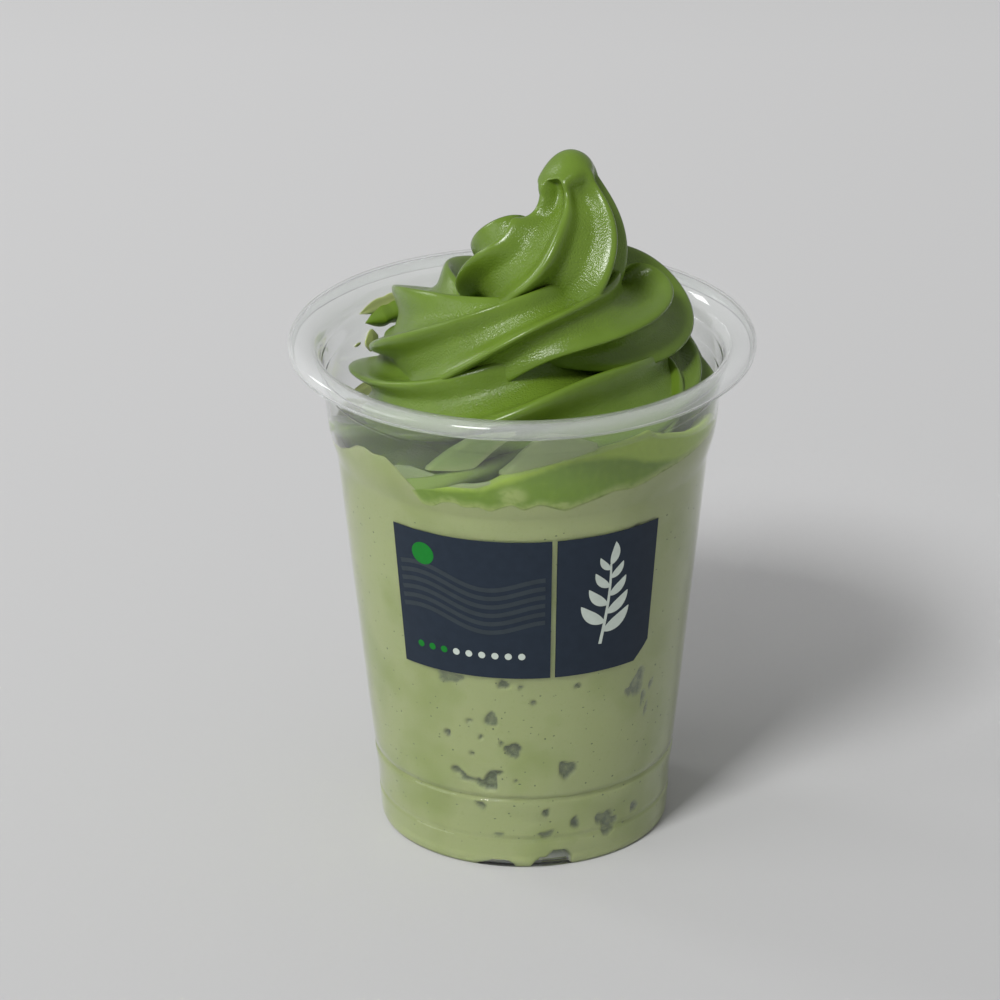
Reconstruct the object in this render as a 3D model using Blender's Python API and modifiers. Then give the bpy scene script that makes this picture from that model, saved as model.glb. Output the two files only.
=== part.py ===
"""Ice cream float: a clear cup of pale green drink under a green soft-serve swirl.

Three closed solids are built, each in its own named object: the cup, the drink
and the soft serve. The soft serve is one rope of fluted ice cream that winds
upward in narrowing turns. The origin is the centre of the cup's foot, +Z is up
and the photographed front faces -Y. Lengths below are in millimetres and are
turned into metres when a mesh is made.
"""
import math

import bmesh
import bpy
import numpy as np

MM = 0.001

# Cup: outer radius of the wall at each height, from the foot to the neck.
WALL = 0.6
FLOOR_RISE = 3.2
FOOT_RADIUS = 28.8
RIM_HEIGHT = 103.15
RIM_RADIUS = 46.0
OUTER_WALL = (
    (0.0, 27.9),
    (0.8, FOOT_RADIUS),
    (14.7, 29.95),
    (15.4, 29.6),
    (16.3, 30.15),
    (41.0, 32.7),
    (78.4, 36.6),
    (81.2, 37.4),
    (84.6, 38.25),
    (93.9, 39.35),
    (97.6, 39.75),
    (99.6, 40.2),
)
# Rolled rim, from the wall's outer side over the curl and back down the inside.
RIM_CURL = (
    (101.2, 40.9),
    (102.4, 42.4),
    (102.5, 44.6),
    (101.6, 45.4),
    (100.2, 45.6),
    (101.4, RIM_RADIUS),
    (102.6, 45.5),
    (RIM_HEIGHT, 44.3),
    (102.9, 42.1),
    (101.6, 40.6),
)
# Inner wall stations, each one WALL inside the outer wall.
INNER_HEIGHTS = (99.6, 84.6, 81.2, 78.4, 41.0, 16.3, 15.4, 14.7, 2.2)
FOOT_RING_INNER = 25.6
SEGMENTS = 64

# Drink: clear of the cup by GAP, up to a wavy level against the wall.
GAP = 0.3
LEVEL_CENTRE = 79.0
LEVEL_START_RADIUS = 27.0
# Height of the drink at the wall, by compass angle from the front (degrees).
LEVEL_AT_WALL = (
    (-180, 83.5),
    (-120, 84.0),
    (-76, 84.6),
    (-58, 86.2),
    (-46, 88.6),
    (-37, 84.6),
    (-29, 80.2),
    (-15, 80.8),
    (5, 81.0),
    (16, 80.2),
    (30, 83.3),
    (46, 84.8),
    (62, 85.8),
    (95, 83.4),
    (180, 83.5),
)

# Soft serve: one station per quarter turn, counter-clockwise seen from above.
# turn angle, winding radius, height, rope radius, centre x, centre y,
# heading of the first lobe, flattening
STATIONS = (
    (-900, 25.0, 77.0, 16.0, 0.0, 0.0, -45, 0.85),
    (-810, 25.0, 80.0, 16.0, 0.0, 0.0, -45, 0.85),
    (-720, 24.5, 83.5, 16.0, 0.0, 0.0, -45, 0.85),
    (-630, 24.0, 86.0, 16.0, 0.0, 0.0, -45, 0.85),
    (-540, 22.5, 85.5, 15.0, 0.5, 0.0, -55, 0.85),
    (-450, 24.5, 93.5, 12.5, 2.5, 0.5, -43, 0.55),
    (-360, 21.0, 91.5, 16.5, 3.0, -2.0, -42, 1.05),
    (-270, 22.0, 92.0, 8.5, 6.5, 3.0, -14, 1.05),
    (-180, 21.5, 99.0, 12.0, 3.5, 0.0, -24, 0.85),
    (-90, 24.0, 100.5, 12.5, 6.5, -0.5, -29, 1.10),
    (0, 16.5, 112.0, 8.0, 3.5, -2.5, -15, 1.00),
    (90, 10.0, 105.5, 17.0, 7.0, 2.0, -17, 0.70),
    (180, 5.5, 111.0, 12.0, 9.5, 0.5, -18, 0.85),
    (270, 5.0, 115.0, 12.0, 4.0, 0.0, -18, 0.90),
    (360, 5.0, 121.5, 14.0, 7.0, -2.0, -21, 1.00),
    (450, 1.5, 133.5, 6.0, 8.0, -1.5, -7, 1.00),
    (540, -2.0, 148.0, 1.0, 6.5, -1.5, -2, 1.00),
)
SWEEP_START = -810.0
SWEEP_END = 458.0
LOBES = 6
FLUTE_DEPTH = 0.33
CREST_SHARPNESS = 0.22
NECK_ANGLE = 400.0
NECK_DEPTH = 0.10
TIP_LENGTH = 6.0
TIP_LEAN = (-0.45, -0.25, 0.86)
TIP_PLAIN = 2.6
TIP_FADE = 6.5
FOLD_ANGLE = 335.0
FOLD_WIDTH = 26.0
FOLD_EASE = 0.22
RINGS = 360
POINTS_PER_RING = 96
CUT_SKIN = 1.5
# Solid middle under the turns, as (radius, height), leaning right higher up.
CORE_PROFILE = ((0.0, 77.5), (24.0, 77.5), (24.0, 88.0), (14.0, 104.0), (4.0, 117.0), (0.0, 121.0))
CORE_SHIFT = 5.0
VOXEL = 0.9
SOFT_SERVE_TRIANGLES = 6900

COLOURS = {
    "clear_plastic": (0.92, 0.94, 0.94, 1.0),
    "green_drink": (0.52, 0.60, 0.40, 1.0),
    "green_soft_serve": (0.19, 0.33, 0.06, 1.0),
}


def clear_scene():
    """Remove every object of the scene."""
    for scene_object in list(bpy.data.objects):
        bpy.data.objects.remove(scene_object, do_unlink=True)


def make_collection(name):
    """Return a new collection linked to the scene."""
    collection = bpy.data.collections.new(name)
    bpy.context.scene.collection.children.link(collection)
    return collection


def make_material(name):
    """Return a Principled material with the named colour."""
    material = bpy.data.materials.new(name)
    material.use_nodes = True
    shader = material.node_tree.nodes["Principled BSDF"]
    shader.inputs["Base Color"].default_value = COLOURS[name]
    shader.inputs["Roughness"].default_value = 0.3
    return material


def add_object(name, points_mm, faces, collection, material):
    """Make a mesh object from points in millimetres and link it."""
    mesh = bpy.data.meshes.new(name)
    mesh.from_pydata([tuple(MM * np.asarray(p)) for p in points_mm], [], faces)
    mesh.materials.append(material)
    mesh.update()
    scene_object = bpy.data.objects.new(name, mesh)
    collection.objects.link(scene_object)
    return scene_object


def wall_radius(height):
    """Outer radius of the cup's wall at a height, in millimetres."""
    heights = [z for z, _ in OUTER_WALL] + [z for z, _ in RIM_CURL[:2]]
    radii = [r for _, r in OUTER_WALL] + [r for _, r in RIM_CURL[:2]]
    return np.interp(height, heights, radii)


def drink_level(radius, angle):
    """Height of the drink at a radius and a compass angle in degrees."""
    angles = [a for a, _ in LEVEL_AT_WALL]
    levels = [z for _, z in LEVEL_AT_WALL]
    turned = (np.asarray(angle) + 180.0) % 360.0 - 180.0
    at_wall = np.interp(turned, angles, levels)
    reach = wall_radius(83.0) - LEVEL_START_RADIUS
    share = np.clip((radius - LEVEL_START_RADIUS) / reach, 0.0, 1.0)
    return LEVEL_CENTRE + share * (at_wall - LEVEL_CENTRE)


def ring_points(radius, height):
    """One ring of the lathe: SEGMENTS points from the front, counter-clockwise."""
    points = []
    for step in range(SEGMENTS):
        turn = 2.0 * math.pi * step / SEGMENTS
        z = height(math.degrees(turn)) if callable(height) else height
        points.append((radius * math.sin(turn), -radius * math.cos(turn), z))
    return points


def lathe(profile):
    """Turn a profile of (radius, height) about Z into one closed surface.

    The first and last entries lie on the axis. The profile runs from the
    underside's centre outward, up, over and back to the top's centre.
    """
    points = [(0.0, 0.0, profile[0][1])]
    for radius, height in profile[1:-1]:
        points.extend(ring_points(radius, height))
    points.append((0.0, 0.0, profile[-1][1]))
    rings = len(profile) - 2
    faces = []
    for step in range(SEGMENTS):
        ahead = (step + 1) % SEGMENTS
        faces.append((0, 1 + ahead, 1 + step))
        for ring in range(rings - 1):
            low = 1 + ring * SEGMENTS
            high = low + SEGMENTS
            faces.append((low + step, low + ahead, high + ahead, high + step))
        last = 1 + (rings - 1) * SEGMENTS
        faces.append((last + step, last + ahead, len(points) - 1))
    return points, faces


def cup_profile():
    """Closed profile of the cup's wall, rolled rim and pushed-up floor."""
    under = [(0.0, FLOOR_RISE), (FOOT_RING_INNER - 1.0, FLOOR_RISE), (FOOT_RING_INNER, 0.0)]
    outer = [(r, z) for z, r in OUTER_WALL]
    curl = [(r, z) for z, r in RIM_CURL]
    inner = [(float(wall_radius(z)) - WALL, z) for z in INNER_HEIGHTS]
    corner_out = (27.2, 0.7)
    corner_in = (FOOT_RING_INNER + 0.4, 0.7)
    floor_edge = (FOOT_RING_INNER - 0.6, FLOOR_RISE + WALL)
    top = (0.0, FLOOR_RISE + WALL)
    return under + outer + curl + inner + [corner_out, corner_in, floor_edge, top]


def drink_profile():
    """Closed profile of the drink, GAP clear of the cup, open to its level."""
    floor = FLOOR_RISE + WALL + GAP
    profile = [
        (0.0, floor),
        (FOOT_RING_INNER - 0.5, floor),
        (FOOT_RING_INNER + 0.75, 0.7 + GAP + 0.05),
        (26.85, 0.7 + GAP + 0.05),
    ]
    for z in (2.2, 14.7, 15.4, 16.3, 41.0, 77.5):
        profile.append((float(wall_radius(z)) - WALL - GAP - 0.02, z))
    return profile + level_rings(0.0)


def level_rings(lift):
    """Rings of the drink's wavy top, raised by a lift, and its centre point."""
    rim = float(wall_radius(79.5)) - WALL - GAP - 0.02
    rings = []
    for radius in (rim, 33.5, 30.0, LEVEL_START_RADIUS):
        rings.append((radius, lambda angle, r=radius: float(drink_level(r, angle)) + lift))
    rings.append((0.0, LEVEL_CENTRE + lift))
    return rings


def catmull_rom(rows, place):
    """Smooth values between rows of a table, at fractional row numbers."""
    table = np.array(rows, dtype=float)
    index = np.clip(np.floor(place).astype(int), 1, len(table) - 3)
    t = (place - index)[:, None]
    before, here, ahead, beyond = (table[index + k] for k in (-1, 0, 1, 2))
    return 0.5 * (
        2.0 * here
        + (ahead - before) * t
        + (2.0 * before - 5.0 * here + 4.0 * ahead - beyond) * t**2
        + (3.0 * here - before - 3.0 * ahead + beyond) * t**3
    )


def unit(vectors):
    """Scale each row to length one."""
    return vectors / np.linalg.norm(vectors, axis=1)[:, None]


def rope_path():
    """Centres, headings, radii, lobe turns, flattening and flute depths of the rope."""
    turn = np.linspace(SWEEP_START, SWEEP_END, RINGS)
    values = catmull_rom(STATIONS, (turn - STATIONS[0][0]) / 90.0)
    radius, height, rope, x, y, lobe, flat = values[:, 1:].T
    angle = np.radians(turn)
    centre = np.stack([x + radius * np.sin(angle), y - radius * np.cos(angle), height], axis=1)
    heading = smooth_rows(unit(np.gradient(centre, axis=0)), RINGS // 21)
    depth = FLUTE_DEPTH + NECK_DEPTH * np.clip((turn - NECK_ANGLE) / 60.0, 0.0, 1.0) ** 2
    ease = 1.0 - FOLD_EASE * np.exp(-(((turn - FOLD_ANGLE) / FOLD_WIDTH) ** 2))
    return centre, heading, rope, lobe, flat, depth, ease


def smooth_rows(vectors, half):
    """Average each row with its neighbours under a rounded window."""
    window = np.hanning(2 * half + 1)
    padded = np.pad(vectors, ((half, half), (0, 0)), mode="edge")
    columns = [np.convolve(padded[:, k], window / window.sum(), "valid") for k in range(3)]
    return unit(np.stack(columns, axis=1))


def add_tip(path):
    """Close the rope with a rounded tip that leans to the front left."""
    centre, heading, rope, lobe, flat, depth, ease = path
    rise = np.linspace(0.0, math.pi / 2.0, 17)
    mix = (np.sin(rise) ** 2)[:, None]
    ways = unit(heading[-1] * (1.0 - mix) + np.array([TIP_LEAN]) * mix)[1:]
    steps = np.diff(TIP_LENGTH * np.sin(rise))[:, None]
    tip_rope = np.maximum(rope[-1] * np.cos(rise[1:]) ** 0.75, 0.05)
    count = len(steps)
    centre = np.concatenate([centre, centre[-1] + np.cumsum(ways * steps, axis=0)])
    lengths = np.linalg.norm(np.diff(centre, axis=0), axis=1)
    left = np.append(np.cumsum(lengths[::-1])[::-1], 0.0)
    fade = np.clip((left - TIP_PLAIN) / TIP_FADE, 0.0, 1.0)
    depth = np.concatenate([depth, np.full(count, depth[-1])])
    return (
        centre,
        np.concatenate([heading, ways]),
        np.concatenate([rope, tip_rope]),
        np.concatenate([lobe, np.full(count, lobe[-1])]),
        np.concatenate([flat, np.ones(count)]),
        depth * fade * fade * (3.0 - 2.0 * fade),
        np.concatenate([ease, np.ones(count)]),
    )


def fluted_rope():
    """Grid of the rope's surface points, one row per ring along the path.

    Each ring's outline is a star of rounded crests and wide grooves. Its lobes
    keep their compass direction all the way up, as an unturned nozzle gives.
    """
    centre, heading, rope, lobe, flat, depth, ease = add_tip(rope_path())
    axis = np.cross([0.0, 0.0, 1.0], heading)
    cosine = heading[:, 2:3]
    size = (axis**2).sum(axis=1)[:, None] + 1e-12
    around = np.linspace(0.0, 2.0 * math.pi, POINTS_PER_RING, endpoint=False)
    groove = np.sqrt(np.sin(LOBES * around / 2.0) ** 2 + CREST_SHARPNESS**2) - CREST_SHARPNESS
    groove /= math.sqrt(1.0 + CREST_SHARPNESS**2) - CREST_SHARPNESS
    grid = np.zeros((len(centre), POINTS_PER_RING, 3))
    for k, turn in enumerate(around):
        compass = np.radians(lobe - 90.0) + turn
        flat_way = np.stack([np.cos(compass), np.sin(compass), 0.0 * compass], axis=1)
        along = (axis * flat_way).sum(axis=1)[:, None]
        way = flat_way * cosine + np.cross(axis, flat_way) + axis * along * (1.0 - cosine) / size
        way[:, 2] *= flat * np.where(way[:, 2] > 0.0, ease, 1.0)
        grid[:, k] = centre + (rope * (1.0 - depth * groove[k]))[:, None] * way
    return grid


def keep_inside(points, sink=0.0):
    """Press points inside the cup's wall and above the drink, less a sink depth."""
    points = np.array(points)
    across = np.hypot(points[..., 0], points[..., 1])
    limit = wall_radius(points[..., 2]) - WALL - GAP - 0.02
    limit = np.where(points[..., 2] > 101.0, 60.0, limit)
    share = np.minimum(1.0, limit / np.maximum(across, 1e-6))
    points[..., 0] *= share
    points[..., 1] *= share
    angle = np.degrees(np.arctan2(points[..., 0], -points[..., 1]))
    level = drink_level(across * share, angle) - sink
    points[..., 2] = np.maximum(points[..., 2], level)
    return points


def rope_mesh():
    """Points and faces of the capped rope and of the core under its turns."""
    grid = keep_inside(fluted_rope(), CUT_SKIN)
    rows, width, _ = grid.shape
    points = list(grid.reshape(-1, 3))
    faces = []
    for row in range(rows - 1):
        for k in range(width):
            ahead = (k + 1) % width
            low = row * width
            high = low + width
            faces.append((low + k, low + ahead, high + ahead, high + k))
    faces.append(tuple(range(width - 1, -1, -1)))
    faces.append(tuple((rows - 1) * width + k for k in range(width)))
    core_points, core_faces = lathe(CORE_PROFILE)
    first = len(points)
    for x, y, z in core_points:
        points.append((x + CORE_SHIFT * min(max((z - 85.0) / 20.0, 0.0), 1.0), y, z))
    faces.extend(tuple(first + i for i in face) for face in core_faces)
    return points, faces


def build_soft_serve(collection, material):
    """Fuse the rope's turns into one solid and reduce it to its budget."""
    points, faces = rope_mesh()
    rough = add_object("soft_serve_rope", points, faces, collection, material)
    fuse = rough.modifiers.new("fuse_turns", "REMESH")
    fuse.mode = "VOXEL"
    fuse.voxel_size = VOXEL * MM
    fused = evaluated_mesh(rough)
    reducer = rough.modifiers.new("reduce", "DECIMATE")
    reducer.ratio = SOFT_SERVE_TRIANGLES / (2.0 * len(fused.polygons))
    reducer.use_collapse_triangulate = True
    light = evaluated_mesh(rough)
    bpy.data.objects.remove(rough, do_unlink=True)
    inside = keep_inside([tuple(v.co / MM) for v in light.vertices], CUT_SKIN)
    triangles = [tuple(polygon.vertices) for polygon in light.polygons]
    swirl = add_object("soft_serve", inside, triangles, collection, material)
    cutter = add_object("drink_space", *lathe(drink_space_profile()), collection, material)
    cut = swirl.modifiers.new("cut_above_drink", "BOOLEAN")
    cut.operation = "DIFFERENCE"
    cut.solver = "EXACT"
    cut.object = cutter
    swirl.data = evaluated_mesh(swirl)
    swirl.modifiers.clear()
    bpy.data.objects.remove(cutter, do_unlink=True)
    drop_scraps(swirl.data)
    return swirl


def drop_scraps(mesh):
    """Keep the largest body of a mesh and remove the slivers that a cut leaves."""
    body = bmesh.new()
    body.from_mesh(mesh)
    islands = []
    left = set(body.verts)
    while left:
        island = {left.pop()}
        edge = list(island)
        while edge:
            vertex = edge.pop()
            for link in vertex.link_edges:
                other = link.other_vert(vertex)
                if other not in island:
                    island.add(other)
                    edge.append(other)
        left -= island
        islands.append(island)
    islands.sort(key=len)
    for island in islands[:-1]:
        bmesh.ops.delete(body, geom=list(island), context="VERTS")
    body.to_mesh(mesh)
    body.free()


def drink_space_profile():
    """Closed profile of the room that the drink and its gap take."""
    outside = float(wall_radius(100.0)) + 3.0
    edge = lambda angle: float(drink_level(float(wall_radius(83.0)), angle)) + GAP
    return [(0.0, 60.0), (outside, 60.0), (outside, edge)] + level_rings(GAP)


def evaluated_mesh(scene_object):
    """A copy of the object's mesh with its modifiers applied."""
    graph = bpy.context.evaluated_depsgraph_get()
    return bpy.data.meshes.new_from_object(scene_object.evaluated_get(graph))


def main():
    """Build the cup, the drink and the soft serve."""
    clear_scene()
    parts = make_collection("ice_cream_float")
    materials = {name: make_material(name) for name in COLOURS}
    add_object("cup", *lathe(cup_profile()), parts, materials["clear_plastic"])
    add_object("drink", *lathe(drink_profile()), parts, materials["green_drink"])
    build_soft_serve(parts, materials["green_soft_serve"])


main()
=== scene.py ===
"""Looks of an ice cream float: a clear cup, a milky green drink and a green swirl.

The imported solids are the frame. Each of the three is replaced by a finer piece
of the same form, and what only the looks need is added: the melted band and the
crests at the wall, smears, printed panels, chips of ice and air, and fine specks.
Lengths are in millimetres inside the classes, and metres once a mesh is made.
The front, which the camera faces, is -Y, and angles run counter-clockwise seen
from above, starting there.
"""
from __future__ import annotations

import logging
import math
from dataclasses import dataclass, field
from enum import Enum
from typing import Callable, NamedTuple, Sequence

import bpy
import numpy as np
from mathutils import Matrix, Vector

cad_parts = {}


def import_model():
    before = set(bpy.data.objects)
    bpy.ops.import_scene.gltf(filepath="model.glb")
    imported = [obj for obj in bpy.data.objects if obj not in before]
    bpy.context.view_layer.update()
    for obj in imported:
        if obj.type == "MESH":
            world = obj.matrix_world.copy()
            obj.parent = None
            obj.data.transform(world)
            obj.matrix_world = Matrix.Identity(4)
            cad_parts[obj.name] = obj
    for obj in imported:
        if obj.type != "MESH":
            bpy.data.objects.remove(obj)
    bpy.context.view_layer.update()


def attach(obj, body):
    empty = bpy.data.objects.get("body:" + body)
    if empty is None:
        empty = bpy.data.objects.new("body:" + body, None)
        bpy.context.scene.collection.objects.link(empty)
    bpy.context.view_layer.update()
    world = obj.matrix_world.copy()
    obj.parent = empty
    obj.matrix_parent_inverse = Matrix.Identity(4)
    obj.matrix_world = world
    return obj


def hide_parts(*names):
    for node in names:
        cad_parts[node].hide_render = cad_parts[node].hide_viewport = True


LOG = logging.getLogger("ice_cream_float")
MM = 0.001
Colour = tuple[float, float, float]
Point = tuple[float, float, float]
Pair = tuple[float, float]
Line = tuple[Pair, ...]
Faces = list[tuple[int, ...]]
Array = np.ndarray
Piece = bpy.types.Object
Material = bpy.types.Material
Socket = bpy.types.NodeSocket


def make_piece(name: str, points: Sequence[Sequence[float]], faces: Sequence[Sequence[int]],
               material: Material, smooth: bool = True) -> Piece:
    """Make a mesh object from points in millimetres and link it to the scene.

    Args:
        name: Name of the object and its mesh.
        points: Points in millimetres.
        faces: Faces as tuples of point numbers.
        material: The only material of the piece.
        smooth: Whether its faces are shaded smooth.

    Returns:
        The new object, at the origin.
    """
    mesh = bpy.data.meshes.new(name)
    scaled = (np.asarray(points, dtype=float) * MM).tolist()
    mesh.from_pydata(scaled, [], [tuple(face) for face in faces])
    mesh.materials.append(material)
    mesh.update()
    if smooth:
        mesh.shade_smooth()
    piece = bpy.data.objects.new(name, mesh)
    bpy.context.scene.collection.objects.link(piece)
    return piece


def set_layer(piece: Piece, name: str, values: Sequence[float]) -> None:
    """Store one number for each point of a piece under a name."""
    layer = piece.data.attributes.new(name, "FLOAT", "POINT")
    layer.data.foreach_set("value", np.asarray(values, dtype=float))


def bake(piece: Piece, name: str) -> Piece:
    """Swap an object for a plain mesh copy of its evaluated self.

    Args:
        piece: The object with live modifiers; it is removed.
        name: Name of the new object.

    Returns:
        The new object, with no modifiers.
    """
    graph = bpy.context.evaluated_depsgraph_get()
    mesh = bpy.data.meshes.new_from_object(piece.evaluated_get(graph))
    bpy.data.objects.remove(piece, do_unlink=True)
    mesh.name = name
    plain = bpy.data.objects.new(name, mesh)
    bpy.context.scene.collection.objects.link(plain)
    return plain


def ease(share: Array) -> Array:
    """Clamp to 0..1, easing in and out."""
    share = np.clip(share, 0.0, 1.0)
    return share * share * (3.0 - 2.0 * share)


def rounded(heights: Array, half: int) -> Array:
    """Average each value with `half` neighbours each way under a rounded window."""
    window = np.hanning(2 * half + 1)
    padded = np.pad(heights, half, mode="edge")
    return np.convolve(padded, window / window.sum(), "valid")


def ring_quads(low: int, high: int, count: int) -> Faces:
    """Quads from one ring of points to the next one."""
    return [(low + k, low + (k + 1) % count, high + (k + 1) % count, high + k) for k in range(count)]


def ring_fan(ring: int, centre: int, count: int, way: int) -> Faces:
    """Triangles from a ring to a centre point, facing up for 1 and down for -1."""
    return [(ring + k, ring + (k + 1) % count, centre)[::way] for k in range(count)]


def grid_faces(rows: int, columns: int, first: int = 0) -> Faces:
    """Quads of a grid whose columns close into a ring.

    Args:
        rows: Number of rings.
        columns: Points in each ring.
        first: Number of the first point.

    Returns:
        The faces, which point outwards where the rows climb.
    """
    starts = [first + row * columns for row in range(rows)]
    return [face for low in starts[:-1] for face in ring_quads(low, low + columns, columns)]


def round_corners(profile: Sequence[Pair], passes: int = 2) -> list[Pair]:
    """Cut the corners of an open profile and keep its two ends.

    Args:
        profile: Points as (radius, height).
        passes: How many times each corner is cut.

    Returns:
        The rounded profile.
    """
    points = [tuple(p) for p in profile]
    for _ in range(passes):
        cut = [points[0]]
        for a, b in zip(points[:-1], points[1:]):
            cut.append((0.75 * a[0] + 0.25 * b[0], 0.75 * a[1] + 0.25 * b[1]))
            cut.append((0.25 * a[0] + 0.75 * b[0], 0.25 * a[1] + 0.75 * b[1]))
        cut.append(points[-1])
        points = cut
    return points


def lathe(profile: Sequence[Pair], segments: int) -> tuple[list[Point], Faces]:
    """Turn a profile whose two ends lie on the axis into a closed surface.

    Args:
        profile: Points as (radius, height), from the underside to the top.
        segments: Points in each ring.

    Returns:
        Points and faces.
    """
    turns = np.linspace(0.0, 2.0 * math.pi, segments, endpoint=False)
    points: list[Point] = [(0.0, 0.0, profile[0][1])]
    for radius, height in profile[1:-1]:
        points.extend((radius * math.sin(t), -radius * math.cos(t), height) for t in turns)
    points.append((0.0, 0.0, profile[-1][1]))
    rings = len(profile) - 2
    last = 1 + (rings - 1) * segments
    faces = grid_faces(rings, segments, 1)
    faces += ring_fan(1, 0, segments, -1) + ring_fan(last, len(points) - 1, segments, 1)
    return points, faces


def add_node(tree: bpy.types.NodeTree, kind: str, **inputs: object) -> bpy.types.Node:
    """Add a node and fill its inputs.

    Args:
        tree: The tree it goes in.
        kind: The node's type.
        inputs: Socket names, with underscores for spaces, and either a value or
            the output socket that feeds them. Names that are attributes of the
            node are set on the node itself.

    Returns:
        The new node.
    """
    node = tree.nodes.new(kind)
    for name, value in inputs.items():
        if hasattr(node, name):
            setattr(node, name, value)
            continue
        socket = node.inputs[name.replace("_", " ")]
        if isinstance(value, Socket):
            tree.links.new(value, socket)
        else:
            socket.default_value = value
    return node


# ---------------------------------------------------------------- finishes


@dataclass(frozen=True)
class Mottle:
    """Noise of a grain size in millimetres, with low..high stretched to bottom..top."""

    size: float
    detail: float
    low: float
    high: float
    bottom: float = 0.0
    top: float = 1.0


class NodeSheet:
    """Short calls for building one material's nodes."""

    def __init__(self, name: str) -> None:
        """Start a material with a Principled shader."""
        self.material = bpy.data.materials.new(name)
        self.material.use_nodes = True
        self.tree = self.material.node_tree
        self.shader = self.tree.nodes["Principled BSDF"]

    def set(self, **values: float | Colour) -> None:
        """Set uniform shader inputs; an underscore in a name stands for a space."""
        for name, value in values.items():
            socket = self.shader.inputs[name.replace("_", " ")]
            socket.default_value = (*value, 1.0) if socket.type == "RGBA" else value

    def node(self, kind: str, **inputs: object) -> bpy.types.Node:
        """Add a shader node; see add_node."""
        return add_node(self.tree, "ShaderNode" + kind, **inputs)

    def link(self, output: Socket, name: str) -> None:
        """Feed a shader input from an output socket."""
        self.tree.links.new(output, self.shader.inputs[name.replace("_", " ")])

    def place(self) -> Socket:
        """Object coordinates of the piece, in metres."""
        return self.node("TexCoord").outputs["Object"]

    def noise(self, size: float, detail: float) -> Socket:
        """Noise whose grain is about `size` millimetres across."""
        scale = 1.0 / (size * MM)
        return self.node("TexNoise", Vector=self.place(), Scale=scale, Detail=detail).outputs["Fac"]

    def spread(self, value: Socket, low: float, high: float,
               bottom: float = 0.0, top: float = 1.0) -> Socket:
        """Stretch a value's range from low..high to bottom..top, clamped."""
        node = self.node("MapRange", Value=value, From_Min=low, From_Max=high, To_Min=bottom, To_Max=top)
        return node.outputs["Result"]

    def mottle(self, kind: Mottle) -> Socket:
        """Noise stretched between two values."""
        return self.spread(self.noise(kind.size, kind.detail), kind.low, kind.high, kind.bottom, kind.top)

    def mix(self, share: Socket, low: object, high: object) -> Socket:
        """Mix two colours by a share from 0 to 1."""
        node = self.node("Mix", data_type="RGBA")
        self.tree.links.new(share, node.inputs[0])
        for socket, colour in ((node.inputs[6], low), (node.inputs[7], high)):
            if isinstance(colour, Socket):
                self.tree.links.new(colour, socket)
            else:
                socket.default_value = (*colour, 1.0)
        return node.outputs[2]

    def attribute(self, name: str) -> Socket:
        """A point attribute of the mesh as a number."""
        return self.node("Attribute", attribute_name=name).outputs["Fac"]

    def maths(self, kind: str, a: Socket, b: Socket) -> Socket:
        """Two values put together, clamped to 0..1."""
        node = self.node("Math", operation=kind, use_clamp=True)
        self.tree.links.new(a, node.inputs[0])
        self.tree.links.new(b, node.inputs[1])
        return node.outputs[0]

    def bump(self, height: Socket, depth: float) -> Socket:
        """A bumped normal for heights whose full range is `depth` millimetres."""
        return self.node("Bump", Height=height, Distance=depth * MM, Strength=1.0).outputs["Normal"]


@dataclass(frozen=True)
class ClearPlasticFinish:
    """Thin clear thermoformed plastic: soft waves, a glossy coat, and a haze at the rim that is partly
    real haze and partly painted sheen for the reflections inside the rolled rim.
    """

    tint: Colour = (0.97, 0.985, 0.98)
    roughness: float = 0.06
    bending: float = 1.12
    coat: float = 0.8
    coat_bending: float = 1.5
    clear_in_mist_and_sheen: float = 0.80
    wave_size: float = 14.0
    wave_depth: float = 0.05

    def make(self) -> Material:
        """Build the material."""
        sheet = NodeSheet("clear_plastic")
        sheet.set(Base_Color=self.tint, Roughness=self.roughness, IOR=self.bending,
                  Coat_Weight=self.coat, Coat_Roughness=self.roughness, Coat_IOR=self.coat_bending)
        # Less clear where hazy: real haze, and at the rim a painted sheen for the rolled rim's inner
        # reflections.
        clear = sheet.spread(sheet.attribute("mist_and_painted_sheen"), 0.0, 1.0, 1.0, self.clear_in_mist_and_sheen)
        sheet.link(clear, "Transmission Weight")
        sheet.link(sheet.bump(sheet.noise(self.wave_size, 1.0), self.wave_depth), "Normal")
        return sheet.material


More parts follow.
